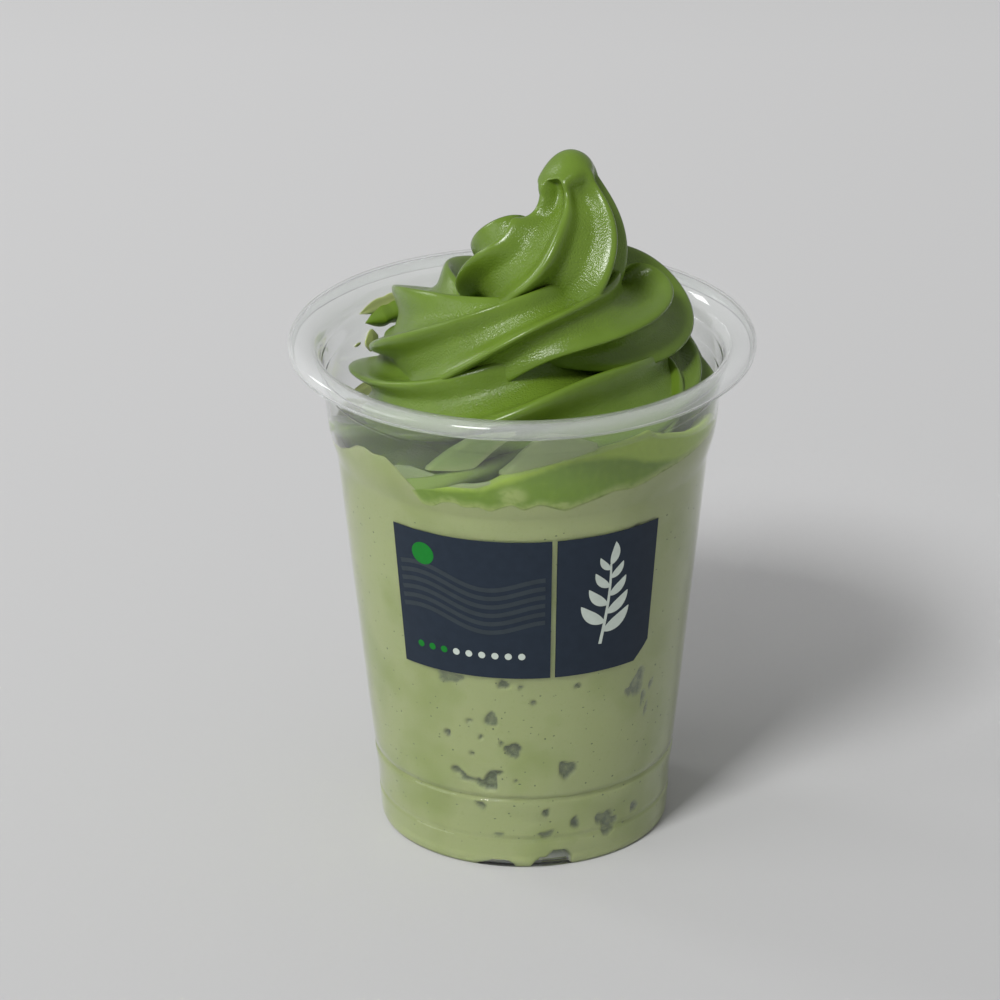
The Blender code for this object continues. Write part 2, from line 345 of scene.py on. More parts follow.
@dataclass(frozen=True)
class DrinkFinish:
    """Opaque milky drink with olive clouds and fine grain, grey-green ice marks with painted glints, and
    floor gaps painted pale below as light and dark above as shade.
    """

    milk: Colour = (0.405, 0.462, 0.205)
    cloud: Colour = (0.275, 0.345, 0.090)
    ice: Colour = (0.130, 0.165, 0.082)
    # Painted highlight: glint is the lighter colour mottled over the ice marks as their glints.
    glint: Colour = (0.20, 0.245, 0.115)
    # Painted light: the pale floor seen lit through the gaps at the foot.
    foot: Colour = (0.80, 0.81, 0.76)
    clouds: Mottle = Mottle(15.0, 2.5, 0.50, 0.72, 0.0, 0.65)
    grain: Mottle = Mottle(0.7, 2.0, 0.60, 0.75, 0.0, 0.22)
    glints: Mottle = Mottle(0.8, 2.0, 0.48, 0.66)
    roughness: float = 0.42
    glow: float = 0.2
    glow_reach: float = 1.2
    glow_colour: Colour = (1.0, 1.0, 0.5)

    def make(self) -> Material:
        """Build the material."""
        sheet = NodeSheet("milky_drink")
        colour = sheet.mix(sheet.mottle(self.clouds), self.milk, self.cloud)
        colour = sheet.mix(sheet.mottle(self.grain), colour, self.cloud)
        # Painted highlight: the ice marks' colour is mottled with the lighter glint colour as painted
        # glints.
        ice_with_painted_glints = sheet.mix(sheet.mottle(self.glints), self.ice, self.glint)
        # The ice colour also paints the shade at the top of the floor gaps.
        colour = sheet.mix(sheet.attribute("ice_and_painted_gap_shade"), colour, ice_with_painted_glints)
        # Painted light: the floor gaps turn pale towards the bottom.
        colour = sheet.mix(sheet.attribute("floor_gap_painted_light"), colour, self.foot)
        sheet.link(colour, "Base Color")
        sheet.set(Roughness=self.roughness, Subsurface_Weight=self.glow,
                  Subsurface_Scale=self.glow_reach * MM, Subsurface_Radius=self.glow_colour)
        return sheet.material


@dataclass(frozen=True)
class SoftServeFinish:
    """Moist frozen cream: smooth glossy crests and grained wet grooves."""

    cream: Colour = (0.128, 0.212, 0.022)
    shade: Colour = (0.106, 0.178, 0.016)
    pressed: Colour = (0.27, 0.385, 0.095)
    tones: Mottle = Mottle(9.0, 3.0, 0.35, 0.7)
    grain_size: float = 0.40
    grain_detail: float = 2.5
    grain_depth: float = 0.22
    crest_grain: float = 0.12
    crest_roughness: float = 0.24
    hollow_roughness: float = 0.20
    shine: float = 0.42
    glow: float = 0.05
    glow_reach: float = 0.6
    glow_colour: Colour = (0.8, 1.0, 0.3)

    def make(self) -> Material:
        """Build the material."""
        sheet = NodeSheet("green_soft_serve")
        cream = sheet.mix(sheet.mottle(self.tones), self.cream, self.shade)
        sheet.link(sheet.mix(sheet.attribute("pressed"), cream, self.pressed), "Base Color")
        hollow = sheet.attribute("hollow")
        grain = sheet.maths("MULTIPLY", sheet.noise(self.grain_size, self.grain_detail),
                            sheet.spread(hollow, 0.0, 1.0, self.crest_grain, 1.0))
        sheet.link(sheet.bump(grain, self.grain_depth), "Normal")
        roughness = sheet.spread(hollow, 0.0, 1.0, self.crest_roughness, self.hollow_roughness)
        sheet.link(roughness, "Roughness")
        sheet.set(Specular_IOR_Level=self.shine, Subsurface_Weight=self.glow,
                  Subsurface_Scale=self.glow_reach * MM, Subsurface_Radius=self.glow_colour)
        return sheet.material


@dataclass(frozen=True)
class LayerFinish:
    """Melted cream against the wall: a dark and a paler green, and drink mixed in. Where lit_share is
    set, the paler green is painted light on the part taken as lit from above.
    """

    name: str = "melted_cream"
    deep: Colour = (0.165, 0.285, 0.014)
    pale: Colour = (0.380, 0.540, 0.060)
    milk: Colour = (0.48, 0.56, 0.20)
    tones: Mottle = Mottle(1.3, 3.0, 0.3, 0.7, -0.12, 0.12)
    ragged: Mottle = Mottle(1.6, 2.0, 0.3, 0.55, 0.35, 1.0)
    ripple_size: float = 0.9
    ripple_detail: float = 2.0
    ripple_depth: float = 0.05
    roughness: float = 0.45

    def make(self) -> Material:
        """Build the material."""
        sheet = NodeSheet(self.name)
        # Painted light: the layer turns paler where it is taken as lit from above.
        lit = sheet.maths("ADD", sheet.attribute("lit_share"), sheet.mottle(self.tones))
        colour = sheet.mix(lit, self.deep, self.pale)
        mixed_in = sheet.maths("MULTIPLY", sheet.attribute("milk_share"), sheet.mottle(self.ragged))
        sheet.link(sheet.mix(mixed_in, colour, self.milk), "Base Color")
        ripple = sheet.noise(self.ripple_size, self.ripple_detail)
        sheet.link(sheet.bump(ripple, self.ripple_depth), "Normal")
        sheet.set(Roughness=self.roughness)
        return sheet.material


@dataclass(frozen=True)
class PlainFinish:
    """One soft colour with a slight mottling, for small marks and ink."""

    name: str
    colour: Colour
    roughness: float = 0.4
    mottle: float = 0.12
    tones: Mottle = Mottle(2.0, 3.0, 0.3, 0.7)
    shine: float = 0.5

    def make(self) -> Material:
        """Build the material."""
        sheet = NodeSheet(self.name)
        dark = tuple(c * (1.0 - self.mottle) for c in self.colour)
        sheet.link(sheet.mix(sheet.mottle(self.tones), self.colour, dark), "Base Color")
        sheet.set(Roughness=self.roughness, Specular_IOR_Level=self.shine)
        return sheet.material


class Ink(Enum):
    """Inks of the printed panels."""

    NAVY = PlainFinish("navy_ink", (0.020, 0.030, 0.046), 0.5, shine=0.15)
    DUSK = PlainFinish("dusk_ink", (0.038, 0.050, 0.060), 0.5, shine=0.15)
    PALE = PlainFinish("pale_ink", (0.56, 0.63, 0.57), 0.5, shine=0.2)
    LEAF = PlainFinish("leaf_green_ink", (0.006, 0.20, 0.022), 0.45, shine=0.2)


# ------------------------------------------------------------- the cup's form


@dataclass(frozen=True)
class CupForm:
    """Sizes that the cup, the drink and the swirl share."""

    wall: float = 0.55
    floor_rise: float = 3.2
    foot_ring_inner: float = 25.6
    outer_wall: Line = (
        (28.05, 0), (28.6, 0.15), (28.85, 0.9), (29.12, 5.4), (29.12, 5.8), (28.85, 6.15),
        (28.95, 6.5), (29.2, 6.9), (29.35, 10.2), (29.85, 13.6), (29.98, 14.7), (29.9, 15.1),
        (29.6, 15.45), (29.7, 15.8), (30.15, 16.3), (32.7, 41), (34.85, 61.5), (36.5, 77.6),
        (36.7, 79.2), (37.25, 80.9), (37.75, 82.6), (38.2, 84.6), (38.6, 88), (39.15, 93.6),
        (39.2, 94), (39.45, 94.4), (39.72, 97.3), (39.8, 97.6), (40.05, 97.95), (40.15, 99.4),
    )
    flare: Line = ((40.9, 101.2), (42.4, 102.4))
    level_mid: float = 83.0
    level_centre: float = 79.0
    level_start: float = 27.0
    level_at_wall: Line = (
        (-180, 83.5), (-120, 84), (-76, 84.6), (-58, 86.2), (-46, 88.6), (-37, 84.6),
        (-29, 80.2), (-15, 80.8), (5, 81), (16, 80.2), (30, 83.3), (46, 84.8),
        (62, 85.8), (95, 83.4), (180, 83.5),
    )

    def outer_radius(self, height: float | Array) -> float | Array:
        """Outer radius of the wall at a height."""
        radii, heights = zip(*self.outer_wall, *self.flare)
        return np.interp(height, heights, radii)

    def inner_radius(self, height: float | Array) -> float | Array:
        """Inner radius of the wall at a height."""
        return self.outer_radius(height) - self.wall

    def outward(self, radius: float | Array) -> float | Array:
        """Share of the way from the level part of the drink's top to the wall."""
        reach = self.outer_radius(self.level_mid) - self.level_start
        return np.clip((radius - self.level_start) / reach, 0.0, 1.0)

    def level(self, radius: float | Array, angle: float | Array) -> float | Array:
        """Height of the drink at a radius and an angle in degrees."""
        at_wall = np.interp((np.asarray(angle) + 180.0) % 360.0 - 180.0, *zip(*self.level_at_wall))
        return self.level_centre + self.outward(radius) * (at_wall - self.level_centre)


@dataclass
class Cup:
    """The clear cup: rolled rim, flared neck, shoulder, grooves and foot."""

    form: CupForm
    finish: ClearPlasticFinish = ClearPlasticFinish()
    segments: int = 176
    inside_from: float = 1.5
    # Haze by height: real haze from foam and condensation, and at the rim a painted sheen standing for
    # the reflections inside the rolled curl.
    mist_and_painted_sheen: Line = (
        (0.0, 0.0), (85.0, 0.0), (90.0, 0.08), (97.5, 0.18), (100.0, 0.75), (103.2, 0.7),
    )
    curl: Line = (
        (40.6, 100.6), (41.5, 101.9), (42.9, 102.5), (44.3, 102.55), (45.1, 102.1), (45.35, 101.2),
        (45.2, 100.5), (44.8, 100.2), (45, 99.95), (45.6, 100), (45.95, 100.7), (46, 101.6),
        (45.7, 102.5), (45, 103), (44.2, 103.15), (42.9, 103.1), (41.7, 102.7), (40.7, 101.8),
        (40.05, 100.7),
    )

    def profile(self) -> list[Pair]:
        """The closed profile, from the pushed-up floor's underside to its top."""
        form = self.form
        rise, ring = form.floor_rise, form.foot_ring_inner
        top = rise + form.wall
        under = [(0.0, rise), (ring - 2.2, rise), (ring - 0.9, rise - 0.5), (ring - 0.1, 0.4),
                 (ring + 0.5, 0.0)]
        inner = [(r - form.wall, z) for r, z in reversed(form.outer_wall) if z > self.inside_from]
        floor = [(27.6, 0.9), (27.0, 0.62), (ring + 0.7, 0.62), (ring + 0.3, 0.9), (ring - 0.4, rise),
                 (ring - 1.0, top), (ring - 2.4, top), (0.0, top)]
        return round_corners(under + list(form.outer_wall) + list(self.curl) + inner + floor)

    def build(self) -> Piece:
        """Build and dress the cup."""
        points, faces = lathe(self.profile(), self.segments)
        cup = make_piece("clear_cup", points, faces, self.finish.make())
        set_layer(cup, "mist_and_painted_sheen", np.interp([z for _, _, z in points], *zip(*self.mist_and_painted_sheen)))
        return cup


@dataclass(frozen=True)
class Mark:
    """A chip of ice or pocket of air at the wall, as a rough oval."""

    angle: float
    height: float
    wide: float
    tall: float
    tilt: float = 0.0
    depth: float = 0.8
    rough: float = 0.14
    foot: bool = False

    def reach(self, across: Array, up: Array) -> Array:
        """How far out places are: 0 at the centre and 1 on the outline."""
        tilt = math.radians(self.tilt)
        u = (across * math.cos(tilt) + up * math.sin(tilt)) / self.wide
        v = (up * math.cos(tilt) - across * math.sin(tilt)) / self.tall
        way = np.arctan2(v, u)
        waver = np.sin(3.0 * way + self.angle) + 0.6 * np.sin(5.0 * way + 2.0 * self.height)
        return np.hypot(u, v) * (1.0 + self.rough * waver)


@dataclass
class Drink:
    """The milky drink, just short of the wall, with marks pressed in its side.

    A mark's edge is `edge` wide. Marks wider than `ring_width` are paler inside.
    """

    form: CupForm
    finish: DrinkFinish = DrinkFinish()
    segments: int = 470
    rows: int = 176
    low: float = 0.2
    skin: Line = ((0.2, 0.14), (1.4, 0.14), (2.2, 0.49))
    top_rings: tuple[float, ...] = (36.6, 35.0, 32.5, 27.0, 12.0)
    edge: float = 0.3
    least_step: float = 0.12
    ring_width: float = 1.1
    ring_middle: float = 0.75
    ring_fade: float = 0.45
    least_grey: float = 0.45
    # Floor gaps are painted pale below foot_height as light from the floor, blending over foot_blend.
    foot_height: float = 2.0
    foot_blend: float = 1.4
    top_at_wall: Line = (
        (-180, 83.5), (-120, 84), (-95, 83), (-82, 83), (-70, 84.5), (-62, 86.5), (-57, 88.5), (-53, 89),
        (-49, 88.5), (-44, 89), (-40, 87.5), (-33, 83.5), (-22, 83.5), (-5, 84.5), (6, 84), (16, 83.5),
        (30, 85), (46, 86), (62, 87), (78, 86), (95, 83.5), (180, 83.5),
    )
    marks: tuple[Mark, ...] = tuple(Mark(*row) for row in (
        (-26.6, 42.6, 2.6, 1.5, 0, 0.35), (-7.1, 42.1, 1, 0.8), (44.5, 38.1, 1.5, 3, -16, 0.7),
        (-11.7, 33.9, 1.2, 1.4, 10, 0.45), (-29, 29.3, 0.6, 0.6), (-4, 27, 1.5, 1.5),
        (16.2, 22, 1.7, 1.7, 0, 0.9), (-25.9, 21, 1.2, 0.6, -20), (-23.4, 20, 0.9, 0.42, -35),
        (-19.5, 19.3, 2.6, 0.36, -3), (-15.6, 18.9, 1.6, 0.75, -12), (-12.9, 19.3, 1.35, 2, -14, 1.1),
        (-12.2, 20.7, 0.95, 1.3, -38), (-10.3, 21.6, 1.3, 0.38, 4), (-17.1, 13.8, 1, 0.5, -25),
        (8.4, 12.2, 0.65, 0.8), (20.3, 9.2, 0.8, 1.15, 10), (33.4, 8.6, 2, 1.4, -12, 1.1),
        (36.4, 7.4, 1.5, 1.1, 20), (35, 5.7, 1.3, 0.9), (49, 8.7, 0.9, 0.95), (8.6, 7.3, 1.45, 0.5, 6),
        (-10, 7.3, 0.8, 0.35, 0, 0.4), (48, 34, 0.5, 1.6, -8, 0.4), (50.2, 31, 0.35, 1.5, -8, 0.4),
        (52, 36.3, 0.6, 1, -30, 0.4), (37, 73.3, 1.5, 0.75, 40, 0.7), (33, 72.3, 0.8, 0.5, 30, 0.6),
        (40.5, 36.8, 0.9, 1, 0, 0.4), (-16, 29.5, 0.4, 0.42), (3.4, 38, 0.4, 0.42),
        (-1, 41.5, 0.42, 0.4), (19, 41, 0.5, 0.35), (-20, 33, 0.45, 0.35), (-3, 20, 0.3, 0.3),
        (-19.4, 25.6, 0.35, 0.3), (-8.4, 28.6, 0.35, 0.4), (13.6, 0.4, 2.9, 2.9, 0, 2.4, 0.06, True),
        (9, -0.2, 3.2, 2.2, 12, 2, 0, True), (-10, -0.2, 3, 1.7, 0, 1.6, 0, True),
        (-14, -0.5, 3.2, 1.3, 4, 1.4, 0, True),
    ))

    def press_marks(self, angle: Array,
                    height: Array) -> tuple[Array, Array, Array]:
        """Depth, greyness and foot share of the marks at places on the wall. At the floor gaps the
        greyness is painted shade above and the foot share is painted light below.

        Args:
            angle: Angles in degrees.
            height: Heights in millimetres.

        Returns:
            Depth in millimetres, and two shares from 0 to 1.
        """
        depth, grey, foot = np.zeros_like(angle), np.zeros_like(angle), np.zeros_like(angle)
        for mark in self.marks:
            across = np.radians(angle - mark.angle) * self.form.outer_radius(mark.height)
            reach = mark.reach(across, height - mark.height)
            step = self.edge / min(mark.wide, mark.tall)
            share = ease((1.0 + 0.5 * step - reach) / max(step, self.least_step))
            depth = np.maximum(depth, mark.depth * share)
            # Floor gaps: painted light, pale towards the bottom, over painted shade, the dark ice colour
            # above.
            if mark.foot:
                low = np.clip((self.foot_height - height) / self.foot_blend, 0.0, 1.0)
                foot = np.maximum(foot, share * low)
                grey = np.maximum(grey, share)
            else:
                pale = self.ring_fade if mark.wide > self.ring_width else 0.0
                middle = np.clip(1.0 - reach / self.ring_middle, 0.0, 1.0) * pale
                grey = np.maximum(grey, share * (1.0 - middle) * min(1.0, self.least_grey + mark.depth))
        return depth, grey, foot

    def top(self, radius: float, angles: Array) -> Array:
        """Height of the drink's top along a ring."""
        edge = np.interp(angles, *zip(*self.top_at_wall))
        centre = self.form.level_centre
        return centre + self.form.outward(radius) ** 2 * (edge - centre)

    def build(self) -> Piece:
        """Build and dress the drink."""
        form = self.form
        turns = np.linspace(-180.0, 180.0, self.segments, endpoint=False)
        sine, cosine = np.sin(np.radians(turns)), np.cos(np.radians(turns))
        tops = self.top(float(form.outer_radius(form.level_mid)), turns)
        share = np.linspace(0.0, 1.0, self.rows)[:, None]
        heights = self.low + share * (tops[None, :] - self.low)
        angles = np.broadcast_to(turns[None, :], heights.shape)
        depth, grey, foot = self.press_marks(angles, heights)
        radii = form.outer_radius(heights) - np.interp(heights, *zip(*self.skin)) - depth
        points = list(np.stack([radii * sine, -radii * cosine, heights], 2).reshape(-1, 3))
        count = self.segments
        faces = grid_faces(self.rows, count)
        previous = (self.rows - 1) * count
        for radius in self.top_rings:
            faces += ring_quads(previous, len(points), count)
            previous = len(points)
            points.extend(zip(radius * sine, -radius * cosine, self.top(radius, turns)))
        faces += ring_fan(previous, len(points), count, 1)
        points.append((0.0, 0.0, form.level_centre))
        previous = 0
        ring, floor = form.foot_ring_inner, form.floor_rise + 0.3
        for radius, height in ((ring + 0.9, self.low), (ring + 0.1, 1.0), (ring - 1.0, floor)):
            faces += ring_quads(len(points), previous, count)
            previous = len(points)
            points.extend(zip(radius * sine, -radius * cosine, [height] * count))
        faces += ring_fan(previous, len(points), count, -1)
        points.append((0.0, 0.0, floor))
        piece = make_piece("milky_drink", points, faces, self.finish.make())
        # The first layer holds the grey of the ice marks and the painted shade of the floor gaps; the
        # second holds the floor gaps' painted light.
        for name, values in (("ice_and_painted_gap_shade", grey), ("floor_gap_painted_light", foot)):
            spare = np.zeros(len(points) - values.size)
            set_layer(piece, name, np.append(values.reshape(-1), spare))
        return piece


# ------------------------------------------------------------- the soft serve


class Station(NamedTuple):
    """The rope at one quarter turn of its winding."""

    turn: float
    winding: float
    height: float
    rope: float
    x: float
    y: float
    lobe: float
    flat: float


@dataclass
class SoftServe:
    """The swirl: one fluted rope wound upward, pressed to the wall and the drink."""

    form: CupForm
    finish: SoftServeFinish = SoftServeFinish()
    lobes: int = 6
    flute: float = 0.36
    neck_flute: float = 0.16
    neck_turn: float = 400.0
    neck_reach: float = 60.0
    crest_width: float = 0.30
    hollowness: float = 0.34
    start: float = -810.0
    end: float = 458.0
    rings: int = 600
    tip_rings: int = 40
    points_per_ring: int = 150
    soft_turn: float = 60.0
    fold_turn: float = 346.0
    fold_width: float = 34.0
    fold_ease: float = 0.27
    tip_length: float = 5.6
    tip_lean: Point = (-0.60, -0.25, 0.76)
    tip_plain: float = 1.6
    tip_fade: float = 8.0
    tip_bluntness: float = 0.75
    tip_end: float = 0.03
    hood_plain: float = 0.8
    hood_fade: float = 3.6
    leg_width: float = 0.10
    leg_blend: float = 0.3
    leg_plain: float = 7.0
    leg_fade: float = 6.0
    grain_from_tip: float = 0.55
    free_above: float = 101.0
    into_wall: float = 0.04
    into_drink: float = 0.6
    pressed_from: float = 1.2
    stations: tuple[Station, ...] = tuple(Station(*row) for row in (
        (-900, 25, 77, 16, 0, 0, -45, 0.85),
        (-810, 25, 80, 16, 0, 0, -45, 0.85),
        (-720, 24.5, 83.5, 16, 0, 0, -45, 0.85),
        (-630, 24, 86, 16, 0, 0, -45, 0.85),
        (-540, 22.5, 85.5, 15, 0.5, 0, -55, 0.85),
        (-450, 24.5, 93.5, 12.5, 2.5, 0.5, -43, 0.55),
        (-360, 21, 91.5, 16.5, 3, -2, -42, 1.05),
        (-270, 22, 92, 8.5, 6.5, 3, -14, 1.05),
        (-180, 21.5, 99, 12, 3.5, 0, -24, 0.85),
        (-90, 24, 100.5, 12.5, 6.5, -0.5, -29, 1.1),
        (0, 16.5, 112, 8, 3.5, -2.5, -15, 1),
        (90, 10, 105.5, 17, 7, 2, -17, 0.7),
        (180, 5.5, 111, 12, 9.5, 0.5, -18, 0.85),
        (270, 5, 115, 12, 4, 0, -18, 0.9),
        (360, 5, 121.5, 14, 7, -2, -21, 1),
        (450, 1.5, 133.5, 6.9, 8, -1.5, -5, 1),
        (540, -2, 148, 2, 6.5, -1.5, 5, 1),
    ))

    def along(self, turn: Array) -> Array:
        """Smooth station values at turn angles, one row each."""
        table = np.array(self.stations)[:, 1:]
        place = (turn - self.stations[0].turn) / 90.0
        index = np.clip(np.floor(place).astype(int), 1, len(table) - 3)
        t = (place - index)[:, None]
        before, here, ahead, beyond = (table[index + k] for k in (-1, 0, 1, 2))
        return 0.5 * (2.0 * here + (ahead - before) * t
                      + (2.0 * before - 5.0 * here + 4.0 * ahead - beyond) * t**2
                      + (3.0 * here - before - 3.0 * ahead + beyond) * t**3)

    @staticmethod
    def unit(rows: Array) -> Array:
        """Scale each row to length one."""
        return rows / np.linalg.norm(rows, axis=1)[:, None]

    def soften(self, rows: Array) -> Array:
        """Average each heading with its neighbours under a rounded window."""
        half = int(self.rings * self.soft_turn / (self.end - self.start))
        return self.unit(np.stack([rounded(column, half) for column in rows.T], axis=1))

    def groove(self, around: Array) -> Array:
        """Depth of the flutes round the rope: 0 on the narrow round crests, 1 mid-valley."""
        away = np.abs((self.lobes * around / (2.0 * math.pi) + 0.5) % 1.0 - 0.5) * 2.0
        rise = 1.0 - np.exp(-((away / self.crest_width) ** 2))
        return rise * (1.0 - self.hollowness * (1.0 - away) ** 2)

    def surface(self) -> Array:
        """Grid of the rope's surface points, one row per ring."""
        turn = np.linspace(self.start, self.end, self.rings)
        winding, height, rope, x, y, lobe, flat = self.along(turn).T
        angle = np.radians(turn)
        centre = np.stack([x + winding * np.sin(angle), y - winding * np.cos(angle), height], axis=1)
        heading = self.soften(self.unit(np.gradient(centre, axis=0)))
        neck = np.clip((turn - self.neck_turn) / self.neck_reach, 0.0, 1.0)
        depth = self.flute + self.neck_flute * neck**2
        fold = 1.0 - self.fold_ease * np.exp(-(((turn - self.fold_turn) / self.fold_width) ** 2))
        rise = np.linspace(0.0, math.pi / 2.0, self.tip_rings + 1)
        blend = (np.sin(rise) ** 2)[:, None]
        ways = self.unit(heading[-1] * (1.0 - blend) + np.array([self.tip_lean]) * blend)
        steps = np.diff(self.tip_length * np.sin(rise))[:, None]
        rise = rise[1:]
        tip = np.maximum(rope[-1] * np.cos(rise) ** self.tip_bluntness, self.tip_end)
        centre = np.concatenate([centre, centre[-1] + np.cumsum(ways[1:] * steps, axis=0)])
        heading = np.concatenate([heading, ways[1:]])
        rope = np.concatenate([rope, tip])
        at_tip = ((lobe, lobe[-1]), (flat, 1.0), (fold, 1.0), (depth, depth[-1]))
        lobe, flat, fold, depth = (np.append(values, np.full(len(rise), last)) for values, last in at_tip)
        steps = np.linalg.norm(np.diff(centre, axis=0), axis=1)
        left = np.append(np.cumsum(steps[::-1])[::-1], 0.0)
        return self.sweep(centre, heading, rope, lobe, flat, self.flutes(depth, left), fold)

    def flutes(self, depth: Array, left: Array) -> Array:
        """Fade the flutes towards the tip, where the last one stays deep under a hood.

        Args:
            depth: Flute depths by ring, as shares of the radius.
            left: Distances to the tip by ring.

        Returns:
            The depths by ring and place.
        """
        place = np.arange(self.points_per_ring) * self.lobes / self.points_per_ring
        plain = depth * ease((left - self.tip_plain) / self.tip_fade)
        hooded = depth * ease((left - self.hood_plain) / self.hood_fade)
        leg = 1.0 - ease((place - self.lobes + 1.0 - self.leg_width) / self.leg_blend)
        near = 1.0 - ease((left - self.leg_plain) / self.leg_fade)
        hooded = hooded[:, None] * (1.0 - near[:, None] * leg[None, :])
        return np.where(place[None, :] > self.lobes - 1.0, hooded, plain[:, None])

    def sweep(self, centre: Array, heading: Array, rope: Array, lobe: Array,
              flat: Array, depth: Array, fold: Array) -> Array:
        """Set a fluted ring across the rope at each centre.

        Args:
            centre: Ring centres.
            heading: Directions along the rope.
            rope: Rope radii.
            lobe: Compass headings of the first lobe in degrees.
            flat: Flattening of each ring's height.
            depth: Flute depths as shares of the radius, by ring and place.
            fold: Extra flattening of the upper half.

        Returns:
            The points as rings by places by three.
        """
        axis = np.cross([0.0, 0.0, 1.0], heading)
        cosine = heading[:, 2:3]
        size = (axis**2).sum(axis=1)[:, None] + 1e-12
        around = np.linspace(0.0, 2.0 * math.pi, self.points_per_ring, endpoint=False)
        groove = self.groove(around)
        grid = np.zeros((len(centre), self.points_per_ring, 3))
        for k, turn in enumerate(around):
            compass = np.radians(lobe - 90.0) + turn
            level = np.stack([np.cos(compass), np.sin(compass), 0.0 * compass], axis=1)
            share = (axis * level).sum(axis=1)[:, None]
            way = level * cosine + np.cross(axis, level) + axis * share * (1.0 - cosine) / size
            way[:, 2] *= flat * np.where(way[:, 2] > 0.0, fold, 1.0)
            grid[:, k] = centre + (rope * (1.0 - depth[:, k] * groove[k]))[:, None] * way
        return grid

    def keep_inside(self, points: Array) -> Array:
        """Press points against the inner wall and down to the drink."""
        x, y, z = (points[..., k] for k in range(3))
        across = np.hypot(x, y)
        limit = np.where(z > self.free_above, np.inf, self.form.inner_radius(z) + self.into_wall)
        share = np.minimum(1.0, limit / np.maximum(across, 1e-6))
        floor = self.form.level(across * share, np.degrees(np.arctan2(x, -y))) - self.into_drink
        return np.stack([x * share, y * share, np.maximum(z, floor)], -1)

    def build(self) -> Piece:
        """Build and dress the swirl."""
        free = self.surface()
        grid = self.keep_inside(free)
        rows, width, _ = grid.shape
        points = [tuple(p) for p in grid.reshape(-1, 3)]
        faces = grid_faces(rows, width)
        for ring, way in ((0, -1), (rows - 1, 1)):
            faces += ring_fan(ring * width, len(points), width, way)
            points.append(tuple(grid[ring].mean(axis=0)))
        swirl = make_piece("green_swirl", points, faces, self.finish.make())
        hollow = self.groove(np.linspace(0.0, 2.0 * math.pi, width, endpoint=False))
        to_tip = (rows - 1.0 - np.arange(rows)) / self.tip_rings
        grained = np.clip(to_tip - self.grain_from_tip, 0.0, 1.0)
        set_layer(swirl, "hollow", np.append(np.outer(grained, hollow), (0.0, 0.0)))
        past = np.hypot(free[..., 0], free[..., 1]) - self.form.inner_radius(grid[..., 2])
        over = np.clip((past + self.pressed_from) / (2.0 * self.pressed_from), 0.0, 1.0)
        pressed = np.where(grid[..., 2] < self.free_above, over, 0.0)
        set_layer(swirl, "pressed", np.append(pressed, (0.0, 0.0)))
        return swirl


@dataclass
class WallLayer:
    """A soft layer that lies against the cup's inner wall between two outlines."""

    form: CupForm
    name: str
    finish: LayerFinish
    top: Line
    bottom: Line
    split: Line = ()
    milk_spots: Sequence[Sequence[float]] = ()
    thick: float = 2.4
    round_top: float = 1.0
    press: float = 0.10
    milk_edge: float = 1.8
    edge_milk: float = 0.85
    spot_milk: float = 0.7
    split_blend: float = 1.4
    step: float = 0.4
    rows: int = 22
    back_rows: int = 8
    back_from: float = 0.94
    soft_steps: int = 5
    roll_width: float = 1.6
    roll_depth: float = 0.8
    thin_ends: float = 6.0

    def outline(self, line: Line, angles: Array) -> Array:
        """Heights of an outline at angles, with its corners rounded."""
        return rounded(np.interp(angles, *zip(*line)), self.soft_steps)

    def build(self) -> Piece:
        """Build and dress the layer."""
        first, last = self.top[0][0], self.top[-1][0]
        angles = np.linspace(first, last, int((last - first) / self.step) + 1)
        low, high = self.outline(self.bottom, angles), self.outline(self.top, angles)
        back = np.linspace(self.back_from, 1.0 - self.back_from, self.back_rows)
        share = np.concatenate([np.linspace(0.0, 1.0, self.rows), back])
        front = np.arange(len(share)) < self.rows
        height = low[:, None] + (high - low)[:, None] * share[None, :]
        wall = self.form.inner_radius(height) + self.press
        tall = np.maximum(high - low, 0.05)[:, None]
        roll = self.roll_width * self.round_top
        edge = np.clip(1.0 - (1.0 - share[None, :]) * tall / roll, 0.0, 1.0)
        ends = np.clip(np.minimum(angles - first, last - angles) / self.thin_ends, 0.0, 1.0)[:, None]
        bulge = self.thick * ends * np.sin(math.pi * share[None, :])
        radius = wall - np.where(front[None, :], self.round_top * edge**2 * self.roll_depth,
                                 self.round_top + bulge)
        turn = np.radians(angles)[:, None]
        grid = np.stack([radius * np.sin(turn), -radius * np.cos(turn), height], axis=2)
        columns, width = height.shape
        points = list(grid.reshape(-1, 3))
        faces = [face[::-1] for face in grid_faces(columns, width)]
        faces.append(tuple(range(width)))
        faces.append(tuple((columns - 1) * width + k for k in range(width - 1, -1, -1)))
        piece = make_piece(self.name, points, faces, self.finish.make())
        set_layer(piece, "milk_share", self.milk(angles, height, low).reshape(-1))
        set_layer(piece, "lit_share", self.lit(angles, height).reshape(-1))
        return piece

    def milk(self, angles: Array, height: Array, low: Array) -> Array:
        """Share of drink mixed in: all along the lower edge and in the spots."""
        share = np.clip(1.0 - (height - low[:, None]) / self.milk_edge, 0.0, 1.0) * self.edge_milk
        for angle, middle, wide, tall in self.milk_spots:
            away = ((angles[:, None] - angle) / wide) ** 2 + ((height - middle) / tall) ** 2
            share = np.maximum(share, self.spot_milk * np.exp(-away * away))
        return share

    def lit(self, angles: Array, height: Array) -> Array:
        """Share of the paler tone, painted light: above the split line, over a soft width, as the upper
        part lit from above.
        """
        if not self.split:
            return np.zeros_like(height)
        line = self.outline(self.split, angles)[:, None]
        return np.clip((height - line) / self.split_blend + 0.5, 0.0, 1.0)


